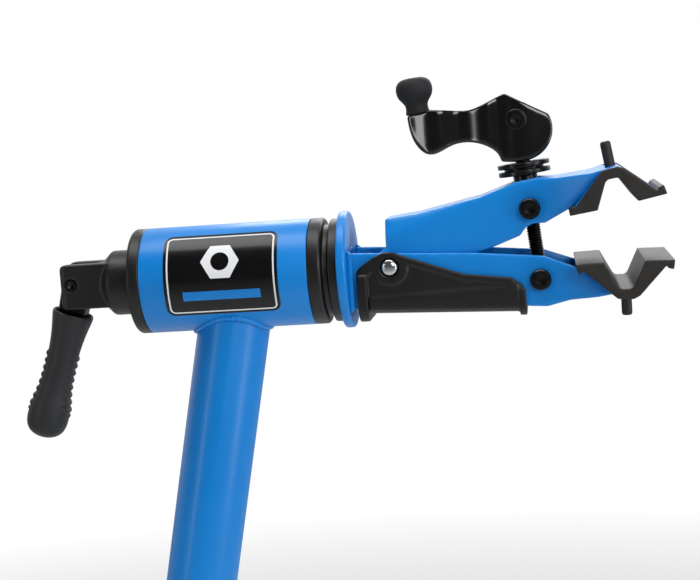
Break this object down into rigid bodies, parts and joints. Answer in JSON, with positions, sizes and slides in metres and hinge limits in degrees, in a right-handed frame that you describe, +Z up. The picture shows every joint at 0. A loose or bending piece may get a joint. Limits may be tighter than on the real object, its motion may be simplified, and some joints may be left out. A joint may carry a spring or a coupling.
{
  "type": "bike repair stand",
  "caption": "Folding workshop stand on a leaning telescopic post with spread legs; its turning head holds a lever clamp that grips a bicycle by its frame tube or seat post.",
  "frame": {"origin": "on the floor, where the axis of the leaning post meets it, under the middle of the post's foot", "axes": "+Z up, +X the way the clamp points, along the head's axis; the legs spread to both sides of +X"},
  "size_m": [0.7304, 1.1492, 1.2049],
  "materials": {
    "blue_powder_coat": "satin powder coat",
    "black_plastic": "fine moulded texture",
    "jaw_polymer": "matte",
    "black_rubber": "matte",
    "gloss_black": "gloss",
    "black_cast_alloy": "satin black coat",
    "black_oxide_steel": "black oxide",
    "zinc_steel": "bright zinc",
    "label_film": "gloss film"
  },
  "bodies": {
    "base": {"lower_post": "blue_powder_coat", "post_foot": "black_rubber", "collar_bushing": "black_plastic", "post_collar": "black_cast_alloy", "collar_bolt": "zinc_steel", "collar_nut": "zinc_steel", "leg_hub": "blue_powder_coat", "leg_pivot_bolts": "zinc_steel"},
    "collar_lever": {"collar_lever": "black_cast_alloy"},
    "leg_left": {"leg_end_left": "black_cast_alloy", "leg_tube_left": "blue_powder_coat", "leg_foot_left": "black_rubber"},
    "leg_right": {"leg_end_right": "black_cast_alloy", "leg_tube_right": "blue_powder_coat", "leg_foot_right": "black_rubber"},
    "knob_left": {"leg_knob_left": "black_plastic"},
    "knob_right": {"leg_knob_right": "black_plastic"},
    "mast": {"upper_post": "blue_powder_coat", "post_glide": "black_plastic", "head_weld": "blue_powder_coat", "head_tube": "blue_powder_coat", "rear_bearing_cap": "black_plastic", "front_bearing_cap": "black_plastic", "head_label": "label_film"},
    "spindle": {"spindle_shaft": "zinc_steel", "friction_washer": "black_plastic", "spindle_flange": "blue_powder_coat", "flange_weld": "blue_powder_coat", "lower_arm": "blue_powder_coat", "grip_shell": "black_plastic", "arm_rivet": "zinc_steel", "lower_jaw_plate": "blue_powder_coat", "lower_jaw_cover": "jaw_polymer"},
    "crank": {"handle_block": "black_plastic", "crank_pin": "black_oxide_steel"},
    "crank_handle": {"handle_tongue": "black_oxide_steel", "handle_grip": "black_plastic"},
    "upper_jaw": {"upper_arm": "blue_powder_coat", "arm_pivot_sleeve": "zinc_steel", "upper_jaw_plate": "blue_powder_coat", "upper_jaw_cover": "jaw_polymer"},
    "upper_swivel": {"upper_trunnion": "zinc_steel", "upper_trunnion_screws": "black_oxide_steel"},
    "lower_swivel": {"lower_trunnion": "zinc_steel", "lower_trunnion_screws": "black_oxide_steel"},
    "rod_seat": {"seat_collar": "black_oxide_steel", "lower_thrust_washer": "black_oxide_steel", "thrust_bearing": "zinc_steel", "upper_thrust_washer": "black_oxide_steel"},
    "rod": {"clamp_rod": "black_oxide_steel"},
    "lever": {"cam_lever": "gloss_black", "lever_screw": "black_oxide_steel", "knob_stud": "zinc_steel"},
    "knob": {"spin_knob": "black_rubber"}
  },
  "joints": [
    {"name": "height_slide", "type": "slide", "parent": "base", "child": "mast", "axis": [0.2071, 0, 0.9783], "range_m": [-0.114, 0.358]},
    {"name": "collar_lever_swing", "type": "hinge", "parent": "base", "child": "collar_lever", "pos_m": [0.13818, -0.021, 0.86054], "axis": [-0.2071, 0, -0.9783], "range_deg": [0, 90]},
    {"name": "left_leg_fold", "type": "hinge", "parent": "base", "child": "leg_left", "pos_m": [0.12207, 0.05142, 0.28081], "axis": [0.6289, -0.766, -0.1331], "range_deg": [0, 100.36]},
    {"name": "right_leg_fold", "type": "hinge", "parent": "base", "child": "leg_right", "pos_m": [0.12207, -0.05142, 0.28081], "axis": [-0.6289, -0.766, 0.1331], "range_deg": [0, 100.36]},
    {"name": "left_knob_turn", "type": "hinge", "parent": "base", "child": "knob_left", "pos_m": [0.12207, 0.05142, 0.28081], "axis": [-0.6289, 0.766, 0.1331], "continuous": true},
    {"name": "right_knob_turn", "type": "hinge", "parent": "base", "child": "knob_right", "pos_m": [0.12207, -0.05142, 0.28081], "axis": [-0.6289, -0.766, 0.1331], "continuous": true},
    {"name": "head_rotation", "type": "hinge", "parent": "mast", "child": "spindle", "pos_m": [0.23281, 0, 1.1], "axis": [1, 0, 0], "continuous": true},
    {"name": "crank_turn", "type": "hinge", "parent": "spindle", "child": "crank", "pos_m": [0.16281, 0, 1.1], "axis": [1, 0, 0], "range_deg": [-20, 180]},
    {"name": "crank_handle_fold", "type": "hinge", "parent": "crank", "child": "crank_handle", "pos_m": [0.13601, 0, 1.101], "axis": [0, 1, 0], "range_deg": [-19.3, 70.7]},
    {"name": "jaw_opening", "type": "hinge", "parent": "spindle", "child": "upper_jaw", "pos_m": [0.32121, 0, 1.1019], "axis": [0, -1, 0], "range_deg": [-12, 8.5]},
    {"name": "upper_swivel_turn", "type": "hinge", "parent": "upper_jaw", "child": "upper_swivel", "pos_m": [0.39962, 0, 1.12913], "axis": [0, -1, 0], "range_deg": [-4.3, 6.1]},
    {"name": "lower_swivel_turn", "type": "hinge", "parent": "spindle", "child": "lower_swivel", "pos_m": [0.40341, 0, 1.09042], "axis": [0, -1, 0], "range_deg": [-6.1, 4.3]},
    {"name": "rod_travel", "type": "slide", "parent": "lower_swivel", "child": "rod_seat", "axis": [-0.0976, 0, 0.9952], "range_m": [-0.017, 0.0121]},
    {"name": "rod_spin", "type": "hinge", "parent": "rod_seat", "child": "rod", "pos_m": [0.39485, 0, 1.17769], "axis": [-0.0976, 0, 0.9952], "continuous": true},
    {"name": "cam_lever_flip", "type": "hinge", "parent": "rod", "child": "lever", "pos_m": [0.39485, 0, 1.17769], "axis": [0, 1, 0], "range_deg": [0, 90]},
    {"name": "lever_knob_spin", "type": "hinge", "parent": "lever", "child": "knob", "pos_m": [0.34061, 0, 1.1846], "axis": [-0.0976, 0, 0.9952], "continuous": true}
  ],
  "couplings": [
    {"joint": "upper_swivel_turn", "follows": "jaw_opening", "ratio": -0.5},
    {"joint": "lower_swivel_turn", "follows": "jaw_opening", "ratio": 0.5},
    {"joint": "rod_travel", "follows": "jaw_opening", "m_per_rad": 0.08069}
  ]
}
